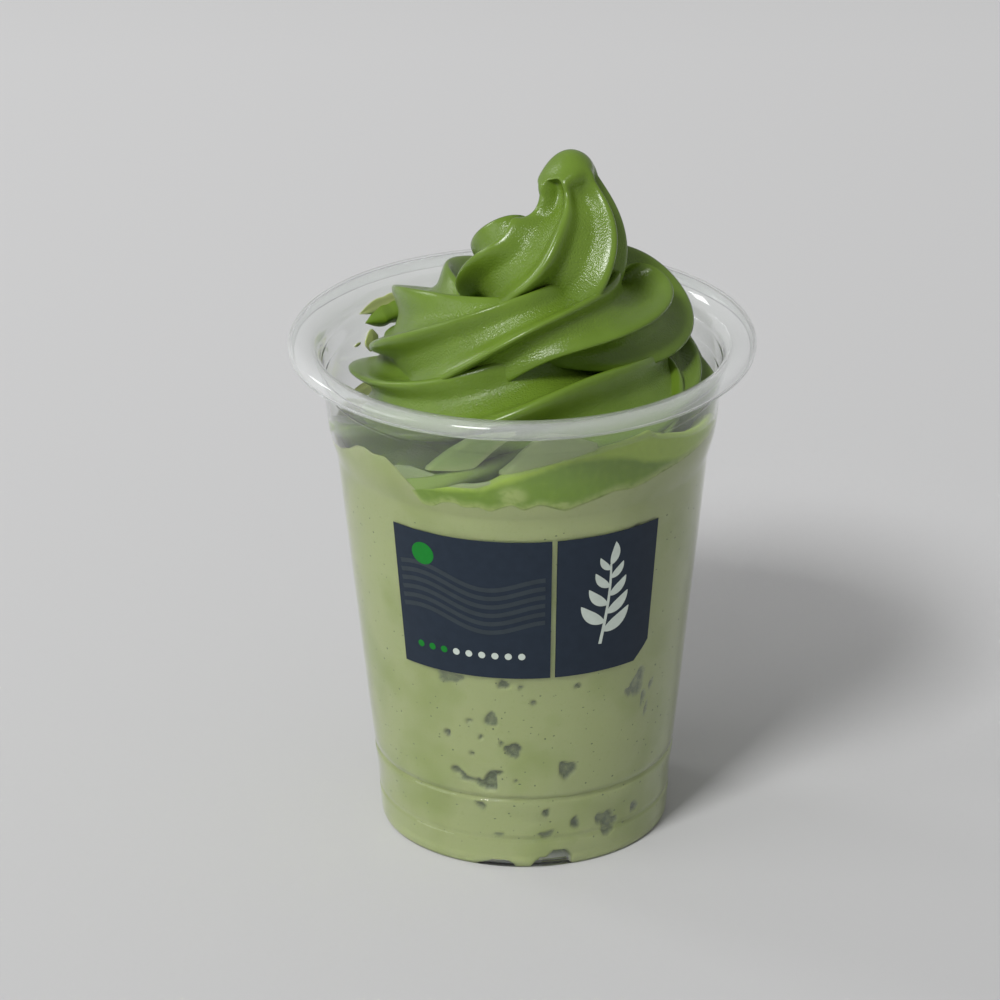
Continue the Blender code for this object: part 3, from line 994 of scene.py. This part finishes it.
def melted_band(form: CupForm) -> WallLayer:
    """The dark band where the swirl has melted flat against the front wall."""
    top = ((-36, 84.5), (-30, 85.5), (-23, 86.5), (-12, 87), (-5, 90), (3, 91.5), (10, 93), (22, 94),
           (35, 95), (39, 95.5), (42, 94), (57, 91), (66, 90), (75, 89.5), (86, 87.5))
    bottom = ((-36, 84), (-34, 83), (-32, 80.5), (-28, 80.5), (-25, 82), (-21, 82.5), (-18, 81.5),
              (-13, 82), (-10, 81), (-7, 82), (-3, 83), (0, 81.5), (5, 83), (9, 82), (13, 81), (17, 82),
              (28, 84), (34, 83.5), (39, 84), (45, 85), (64, 86), (78, 86.5), (86, 87))
    # Above the split line the band is painted paler, as if lit from above.
    split = ((-36, 84.5), (-25, 85), (-12, 86), (0, 89), (8, 91), (15, 92), (23, 92), (31, 91), (38, 89),
             (45, 87.5), (51, 86.5), (86, 85))
    return WallLayer(form, "melted_band", LayerFinish(), top, bottom, split,
                     milk_spots=((-3.0, 85.0, 4.2, 2.0), (12.0, 82.6, 2.5, 0.7)))


def pressed_crests(form: CupForm) -> list[WallLayer]:
    """Two crests of the swirl, pressed pale against the front wall above the band; the right one is paler
    still with a painted highlight.
    """
    # The right crest's lighter green is a painted highlight.
    green, light = (0.250, 0.370, 0.080), (0.350, 0.450, 0.160)
    pale, milk = (0.40, 0.50, 0.22), (0.34, 0.43, 0.14)
    left_top = ((-30, 89), (-27, 91), (-22, 94), (-16, 97), (-10, 98.5), (-2, 99))
    left_bottom = ((-30, 88.5), (-20, 89.5), (-14, 90.5), (-8, 95), (-2, 98.5))
    right_top = ((-7, 90), (-3, 92.5), (0, 95), (4, 97.5), (8, 98.5), (14, 97.5), (22, 95))
    right_bottom = ((-7, 89.5), (-3, 90), (9, 92), (16, 93), (22, 94))
    shapes = (
        ("pressed_crest_left", "pressed_crest", green, left_top, left_bottom),
        ("pressed_crest_right", "pressed_crest_painted_highlight", light, right_top, right_bottom),
    )
    return [WallLayer(form, name, LayerFinish(finish, tone, pale, milk), top, bottom, thick=1.6,
                      round_top=1.2, press=-0.1) for name, finish, tone, top, bottom in shapes]


def wall_smears(form: CupForm) -> list[WallLayer]:
    """Cream left on the inner wall, back left: a film, a lump, a run and a dab.

    Args:
        form: Sizes of the cup.

    Returns:
        The layers. The rows of `shapes` hold a name, a finish, the first and last
        angle, the middle height, half the height and the thickness.
    """
    lump = LayerFinish("smeared_cream", (0.135, 0.230, 0.016), (0.20, 0.30, 0.03), (0.30, 0.40, 0.10))
    film = LayerFinish("cream_film", (0.46, 0.52, 0.20), (0.42, 0.48, 0.20), (0.60, 0.64, 0.42))
    shapes = (
        ("smear_film", film, -146.0, -124.5, 97.9, 1.5, 0.2),
        ("smear_lump", lump, -146.0, -126.5, 95.6, 2.3, 2.2),
        ("smear_run", film, -131.0, -125.0, 91.6, 2.6, 0.6),
        ("smear_dab", film, -122.5, -119.5, 92.3, 0.5, 0.4),
    )
    parts, bluntness, waver, pace, least = 8, 0.6, 0.22, 2.6, 0.05
    layers = []
    for name, finish, first, last, middle, half, thick in shapes:
        top, bottom = [], []
        for k in range(parts + 1):
            turn = first + (last - first) * k / parts
            tall = half * math.sin(math.pi * k / parts) ** bluntness * (1.0 + waver * math.sin(pace * k))
            top.append((turn, middle + tall + least))
            bottom.append((turn, middle - tall))
        layers.append(WallLayer(form, name, finish, tuple(top), tuple(bottom), thick=thick,
                                round_top=0.3, press=-0.02, milk_edge=0.5, step=0.5))
    return layers


def milk_strip(form: CupForm) -> WallLayer:
    """The thin milky streak above the band's left end."""
    top = ((-41, 87.5), (-39, 88), (-35, 88.5), (-28, 88), (-20, 87), (-15, 87), (-9, 88))
    bottom = ((-41, 87), (-38, 85.5), (-36, 84), (-30, 84.5), (-23, 85.5), (-15, 86), (-9, 87.5))
    finish = LayerFinish("milk_streak", (0.27, 0.35, 0.14), (0.30, 0.38, 0.17), (0.36, 0.43, 0.19))
    return WallLayer(form, "milk_streak", finish, top, bottom, thick=0.8, round_top=0.5, press=-0.15)


# ------------------------------------------------------------ prints and marks


@dataclass(frozen=True)
class Hills:
    """Sizes of the wavy lines across the left panel."""

    count: int = 6
    inset: float = 1.2
    length: float = 29.6
    low: float = 12.6
    pitch: float = 1.9
    swell: float = 1.5
    pace: float = 7.2
    phase: float = 0.4
    slope: float = 1.4
    width: float = 0.95

    def line(self, row: int, share: float) -> Pair:
        """Place along one line, from the panel's lower left corner."""
        swell = self.swell * math.sin(self.pace * share + self.phase)
        return self.inset + self.length * share, self.low + self.pitch * row + swell - self.slope * share


@dataclass(frozen=True)
class Sprig:
    """Sizes of the leafy stem on the right panel."""

    place: Pair = (9.4, 6.2)
    height: float = 17.6
    bow: float = 1.6
    turn: float = 1.9
    stem_width: float = 0.7
    stem_taper: float = 0.3
    pairs: int = 4
    pitch: float = 0.22
    right_from: float = 0.16
    left_from: float = 0.27
    leaf_length: float = 7.2
    shorter: float = 1.0
    left_shorter: float = 0.4
    right_turn: float = 38.0
    left_turn: float = 140.0
    steeper: float = 4.0
    leaf_bow: float = 0.10
    leaf_width: float = 0.36
    leaf_lean: float = 0.85
    leaf_fullness: float = 0.8
    top_leaf: tuple[float, float, float] = (0.99, 80.0, 5.0)


@dataclass
class WallPrint:
    """Thin ink shapes wrapped round the cup's outer wall."""

    form: CupForm
    low: float = 43.8
    high: float = 74.5
    left: Pair = (-44.0, 9.0)
    right: Pair = (10.6, 46.6)
    chamfer: float = 3.6
    mid_height: float = 59.0
    lift: float = 0.03
    thick: float = 0.05
    overlap: float = 0.8
    panel_grid: tuple[int, int] = (40, 24)
    disc_steps: int = 40
    disc_rings: tuple[float, ...] = (0.34, 0.67, 1.0)
    thinnest: float = 0.03
    sun: tuple[float, float, float] = (6.6, -5.0, 2.4)
    dots: int = 9
    green_dots: int = 3
    dot_place: Pair = (4.6, 5.0)
    dot_pitch: float = 2.7
    dot_radius: float = 0.72
    hills: Hills = Hills()
    sprig: Sprig = Sprig()
    inks: dict[Ink, Material] = field(default_factory=dict)

    def on_wall(self, u: float, height: float, lift: float) -> Point:
        """A place on the wall; u is the arc in millimetres from the front at mid height."""
        angle = u / self.form.outer_radius(self.mid_height)
        radius = self.form.outer_radius(height) + lift
        return (radius * math.sin(angle), -radius * math.cos(angle), height)

    def arc(self, degrees: float) -> float:
        """Arc in millimetres at mid height for an angle."""
        return math.radians(degrees) * float(self.form.outer_radius(self.mid_height))

    def slab(self, name: str, flat: list[Pair], faces: Faces, ink: Ink,
             layer: int) -> Piece:
        """Wrap a flat patch on the wall as a thin closed slab.

        Args:
            name: Name of the piece.
            flat: Points as (arc, height).
            faces: Faces of the patch, counter-clockwise seen from outside.
            ink: Its ink.
            layer: 0 for the panels, 1 for what is printed over them.

        Returns:
            The piece.
        """
        base = self.lift + layer * self.thick * self.overlap
        count = len(flat)
        points = [self.on_wall(u, z, base + self.thick) for u, z in flat]
        points += [self.on_wall(u, z, base) for u, z in flat]
        solid = list(faces) + [tuple(count + i for i in reversed(face)) for face in faces]
        sides = {(face[i], face[(i + 1) % len(face)]) for face in faces for i in range(len(face))}
        for a, b in sorted(sides):
            if (b, a) not in sides:
                solid.append((b, a, count + a, count + b))
        if ink not in self.inks:
            self.inks[ink] = ink.value.make()
        return make_piece(name, points, solid, self.inks[ink], smooth=False)

    def panel(self, name: str, span: Pair, cut: float = 0.0) -> Piece:
        """A dark panel between two angles, with its lower right corner cut."""
        a, b = self.arc(span[0]), self.arc(span[1])
        columns, rows = self.panel_grid
        flat = []
        for row in range(rows + 1):
            z = self.low + (self.high - self.low) * row / rows
            end = b - max(0.0, cut - (z - self.low))
            flat.extend((a + (end - a) * k / columns, z) for k in range(columns + 1))
        step = columns + 1
        faces = [(r * step + k, r * step + k + 1, (r + 1) * step + k + 1, (r + 1) * step + k)
                 for r in range(rows) for k in range(columns)]
        return self.slab(name, flat, faces, Ink.NAVY, 0)

    def disc(self, name: str, centre: Pair, radius: float, ink: Ink) -> Piece:
        """A filled round spot."""
        count = self.disc_steps
        turns = [2.0 * math.pi * k / count for k in range(count)]
        flat: list[Pair] = [centre]
        for share in self.disc_rings:
            reach = share * radius
            flat.extend((centre[0] + reach * math.cos(t), centre[1] + reach * math.sin(t)) for t in turns)
        faces: Faces = [(0, 1 + k, 1 + (k + 1) % count) for k in range(count)]
        for ring in range(len(self.disc_rings) - 1):
            low = 1 + ring * count
            high = low + count
            faces.extend((low + k, high + k, high + (k + 1) % count, low + (k + 1) % count)
                         for k in range(count))
        return self.slab(name, flat, faces, ink, 1)

    def ribbon(self, name: str, path: Callable[[float], Pair], width: Callable[[float], float], ink: Ink,
               steps: int = 44) -> Piece:
        """A band along a path; path and width take shares from 0 to 1."""
        flat: list[Pair] = []
        for k in range(steps + 1):
            share = k / steps
            u, z = path(share)
            u2, z2 = path(share + 0.01)
            du, dz = u2 - u, z2 - z
            reach = max(width(share), self.thinnest) / 2.0 / math.hypot(du, dz)
            flat.append((u + dz * reach, z - du * reach))
            flat.append((u - dz * reach, z + du * reach))
        faces = [(2 * k, 2 * k + 2, 2 * k + 3, 2 * k + 1) for k in range(steps)]
        return self.slab(name, flat, faces, ink, 1)

    def leaf(self, name: str, start: Pair, turn: float, length: float) -> Piece:
        """A pointed leaf from a place, along a direction in degrees, bowed a little upward."""
        form = self.sprig
        along = math.radians(turn)
        bow = form.leaf_bow * length * (1.0 if math.cos(along) >= 0.0 else -1.0)

        def path(share: float) -> Pair:
            """Middle line of the leaf."""
            side = bow * math.sin(math.pi * share)
            return (start[0] + length * share * math.cos(along) + side * math.sin(along),
                    start[1] + length * share * math.sin(along) - side * math.cos(along))

        def width(share: float) -> float:
            """Width of the leaf."""
            full = math.sin(math.pi * share**form.leaf_lean) ** form.leaf_fullness
            return form.leaf_width * length * full

        return self.ribbon(name, path, width, Ink.PALE, 26)

    def build(self) -> list[Piece]:
        """Build the two panels and a generic sprig, sun and hills on them."""
        left, right = self.arc(self.left[0]), self.arc(self.right[0])
        pieces = [self.panel("print_panel_left", self.left),
                  self.panel("print_panel_right", self.right, self.chamfer)]
        for k in range(self.hills.count):
            def hill(share: float, row: int = k) -> Pair:
                """One line of the hills."""
                across, up = self.hills.line(row, share)
                return left + across, self.low + up
            pieces.append(self.ribbon(f"print_hill_{k}", hill, lambda share: self.hills.width, Ink.DUSK))
        across, up, radius = self.sun
        pieces.append(self.disc("print_sun", (left + across, self.high + up), radius, Ink.LEAF))
        across, up = self.dot_place
        for k in range(self.dots):
            ink = Ink.LEAF if k < self.green_dots else Ink.PALE
            centre = (left + across + self.dot_pitch * k, self.low + up)
            pieces.append(self.disc(f"print_dot_{k}", centre, self.dot_radius, ink))
        pieces.extend(self.leafy_stem(right + self.sprig.place[0], self.low + self.sprig.place[1]))
        return pieces

    def leafy_stem(self, u: float, z: float) -> list[Piece]:
        """A bowed stem with paired leaves, rising from a place on the wall."""
        form = self.sprig

        def stem(share: float) -> Pair:
            """Middle line of the stem."""
            return u + form.bow * math.sin(form.turn * share), z + form.height * share

        def width(share: float) -> float:
            """Width of the stem."""
            return form.stem_width - form.stem_taper * share

        pieces = [self.ribbon("print_stem", stem, width, Ink.PALE)]
        for k in range(form.pairs):
            length, turn = form.leaf_length - form.shorter * k, form.steeper * k
            right, left = stem(form.right_from + form.pitch * k), stem(form.left_from + form.pitch * k)
            pieces.append(self.leaf(f"print_leaf_right_{k}", right, form.right_turn + turn, length))
            pieces.append(self.leaf(f"print_leaf_left_{k}", left, form.left_turn - turn,
                                    length - form.left_shorter))
        share, turn, length = form.top_leaf
        pieces.append(self.leaf("print_leaf_top", stem(share), turn, length))
        return pieces


@dataclass
class Specks:
    """Fine dark specks scattered at the drink's side by Geometry Nodes."""

    form: CupForm
    finish: PlainFinish = PlainFinish("olive_speck", (0.17, 0.215, 0.095), 0.5)
    density: float = 52000.0
    size: float = 0.19
    least: Point = (0.35, 0.35, 0.3)
    most: Point = (1.5, 1.2, 0.6)
    seed: int = 7
    span: Pair = (4.5, 76.0)
    rings: int = 16
    segments: int = 96
    under_skin: float = 0.06

    def carrier(self, material: Material) -> Piece:
        """A plain band at the drink's side for the specks to sit on."""
        points: list[Point] = []
        turns = np.linspace(0.0, 2.0 * math.pi, self.segments, endpoint=False)
        for z in np.linspace(*self.span, self.rings):
            radius = float(self.form.inner_radius(z)) + self.under_skin
            points.extend((radius * math.sin(t), -radius * math.cos(t), float(z)) for t in turns)
        return make_piece("speck_carrier", points, grid_faces(self.rings, self.segments), material)

    def tree(self, material: Material) -> bpy.types.NodeTree:
        """The scattering tree, with named inputs for its sizes."""
        tree = bpy.data.node_groups.new("scatter_specks", "GeometryNodeTree")
        tree.interface.new_socket("Geometry", in_out="INPUT", socket_type="NodeSocketGeometry")
        for name in ("Density", "Speck Radius"):
            tree.interface.new_socket(name, in_out="INPUT", socket_type="NodeSocketFloat")
        tree.interface.new_socket("Geometry", in_out="OUTPUT", socket_type="NodeSocketGeometry")
        start = add_node(tree, "NodeGroupInput").outputs
        points = add_node(tree, "GeometryNodeDistributePointsOnFaces", Mesh=start["Geometry"],
                          Density=start["Density"], Seed=self.seed).outputs
        ball = add_node(tree, "GeometryNodeMeshIcoSphere", Subdivisions=2, Radius=start["Speck Radius"])
        scale = add_node(tree, "FunctionNodeRandomValue", data_type="FLOAT_VECTOR", Min=self.least,
                         Max=self.most, Seed=self.seed + 1)
        copies = add_node(tree, "GeometryNodeInstanceOnPoints", Points=points["Points"],
                          Rotation=points["Rotation"], Instance=ball.outputs["Mesh"],
                          Scale=scale.outputs["Value"])
        real = add_node(tree, "GeometryNodeRealizeInstances", Geometry=copies.outputs["Instances"])
        paint = add_node(tree, "GeometryNodeSetMaterial", Geometry=real.outputs["Geometry"],
                         Material=material)
        add_node(tree, "NodeGroupOutput", Geometry=paint.outputs["Geometry"])
        return tree

    def build(self) -> Piece:
        """Scatter the specks and bake them."""
        material = self.finish.make()
        band = self.carrier(material)
        scatter = band.modifiers.new("scatter", "NODES")
        scatter.node_group = self.tree(material)
        sizes = {"Density": self.density, "Speck Radius": self.size * MM}
        for item in scatter.node_group.interface.items_tree:
            if item.in_out == "INPUT" and item.name in sizes:
                scatter[item.identifier] = sizes[item.name]
        return bake(band, "olive_specks")


# ---------------------------------------------------------------- the studio


@dataclass(frozen=True)
class Lamp:
    """A square soft light: lengths in millimetres, power in watts."""

    name: str
    place: Point
    size: float
    power: float


@dataclass
class Studio:
    """Pale floor, soft light and the camera of the photograph."""

    distance: float = 1298.4
    down: float = 24.918
    aim_height: float = 55.0
    focal_pixels: float = 6527.1
    yaw: float = -0.0035
    pitch: float = 0.0085
    roll: float = -0.0061
    picture_pixels: float = 1000.0
    sensor: float = 36.0
    clip: Pair = (0.05, 50.0)
    floor_size: float = 6000.0
    # Painted light: the floor's colour runs from darker near the camera to lighter far away.
    floor_near: Colour = (0.505, 0.505, 0.508)
    floor_far: Colour = (0.685, 0.685, 0.688)
    floor_blend: Pair = (-0.10, 0.43)
    lamps: tuple[Lamp, ...] = (
        Lamp("window", (-640.0, -1120.0, 1530.0), 460.0, 29.0),
        Lamp("side_window", (-1900.0, -500.0, 900.0), 1200.0, 8.5),
        Lamp("far_window", (-1500.0, 900.0, 900.0), 420.0, 4.0),
    )
    lamp_aim: Point = (0.0, 0.0, 60.0)
    sky_strength: float = 0.37

    def floor(self) -> Piece:
        """A wide pale floor under the cup, with painted light: lighter away from the camera."""
        sheet = NodeSheet("pale_floor")
        away = sheet.node("SeparateXYZ", Vector=sheet.place()).outputs["Y"]
        tone = sheet.spread(away, *self.floor_blend)
        sheet.link(sheet.mix(tone, self.floor_near, self.floor_far), "Base Color")
        sheet.set(Roughness=0.8, Specular_IOR_Level=0.2)
        size = self.floor_size
        corners = [(-size, -size, 0.0), (size, -size, 0.0), (size, size, 0.0), (-size, size, 0.0)]
        piece = make_piece("floor", corners, [(0, 1, 2, 3)], sheet.material, smooth=False)
        return piece

    def lamp(self, form: Lamp) -> None:
        """Add a soft light, aimed at the cup."""
        light = bpy.data.lights.new(form.name, "AREA")
        light.size = form.size * MM
        light.energy = form.power
        lamp = bpy.data.objects.new(form.name, light)
        lamp.location = Vector(form.place) * MM
        way = Vector(self.lamp_aim) - Vector(form.place)
        lamp.rotation_euler = way.to_track_quat("-Z", "Y").to_euler()
        bpy.context.scene.collection.objects.link(lamp)

    def sky(self) -> None:
        """Even grey light from all round."""
        world = bpy.data.worlds.new("soft_room")
        bpy.context.scene.world = world
        world.use_nodes = True
        ground = world.node_tree.nodes["Background"]
        ground.inputs["Color"].default_value = (1.0, 1.0, 1.0, 1.0)
        ground.inputs["Strength"].default_value = self.sky_strength

    def camera(self) -> None:
        """Set the camera where the photograph was taken."""
        down = math.radians(self.down)
        height = self.aim_height + self.distance * math.sin(down)
        place = Vector((0.0, -self.distance * math.cos(down), height))
        ahead = Vector((0.0, math.cos(down), -math.sin(down)))
        right = Vector((1.0, 0.0, 0.0))
        up = right.cross(ahead)
        ahead = (ahead + math.tan(self.yaw) * right + math.tan(self.pitch) * up).normalized()
        right = ahead.cross(Vector((0.0, 0.0, 1.0))).normalized()
        up = right.cross(ahead)
        turned = math.cos(self.roll) * right + math.sin(self.roll) * up
        up = math.cos(self.roll) * up - math.sin(self.roll) * right
        lens = bpy.data.cameras.new("camera")
        lens.sensor_fit = "HORIZONTAL"
        lens.sensor_width = self.sensor
        lens.lens = self.focal_pixels / self.picture_pixels * self.sensor
        lens.clip_start, lens.clip_end = self.clip
        camera = bpy.data.objects.new("camera", lens)
        columns = (turned, up, -ahead, place * MM)
        rows = [[column[i] for column in columns] for i in range(3)]
        camera.matrix_world = Matrix([*rows, [0.0, 0.0, 0.0, 1.0]])
        bpy.context.scene.collection.objects.link(camera)
        bpy.context.scene.camera = camera

    def build(self) -> None:
        """Set up the camera, floor and light."""
        self.camera()
        self.floor()
        for lamp in self.lamps:
            self.lamp(lamp)
        self.sky()
        bpy.context.scene.view_settings.view_transform = "Standard"


def dress(piece: Piece, node: str | None = None) -> None:
    """Ride a piece on the part and hide the node it replaces, if one is given."""
    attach(piece, "root")
    if node is not None:
        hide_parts(node)
    LOG.info("%s: %d faces", piece.name, len(piece.data.polygons))


def main() -> None:
    """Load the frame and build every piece."""
    logging.basicConfig(level=logging.INFO, format="%(message)s")
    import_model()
    form = CupForm()
    dress(Cup(form).build(), "cup")
    dress(Drink(form).build(), "drink")
    dress(SoftServe(form).build(), "soft_serve")
    dress(melted_band(form).build())
    dress(milk_strip(form).build())
    for layer in (*pressed_crests(form), *wall_smears(form)):
        dress(layer.build())
    for piece in WallPrint(form).build():
        dress(piece)
    dress(Specks(form).build())
    Studio().build()


if __name__ == "__main__":
    main()
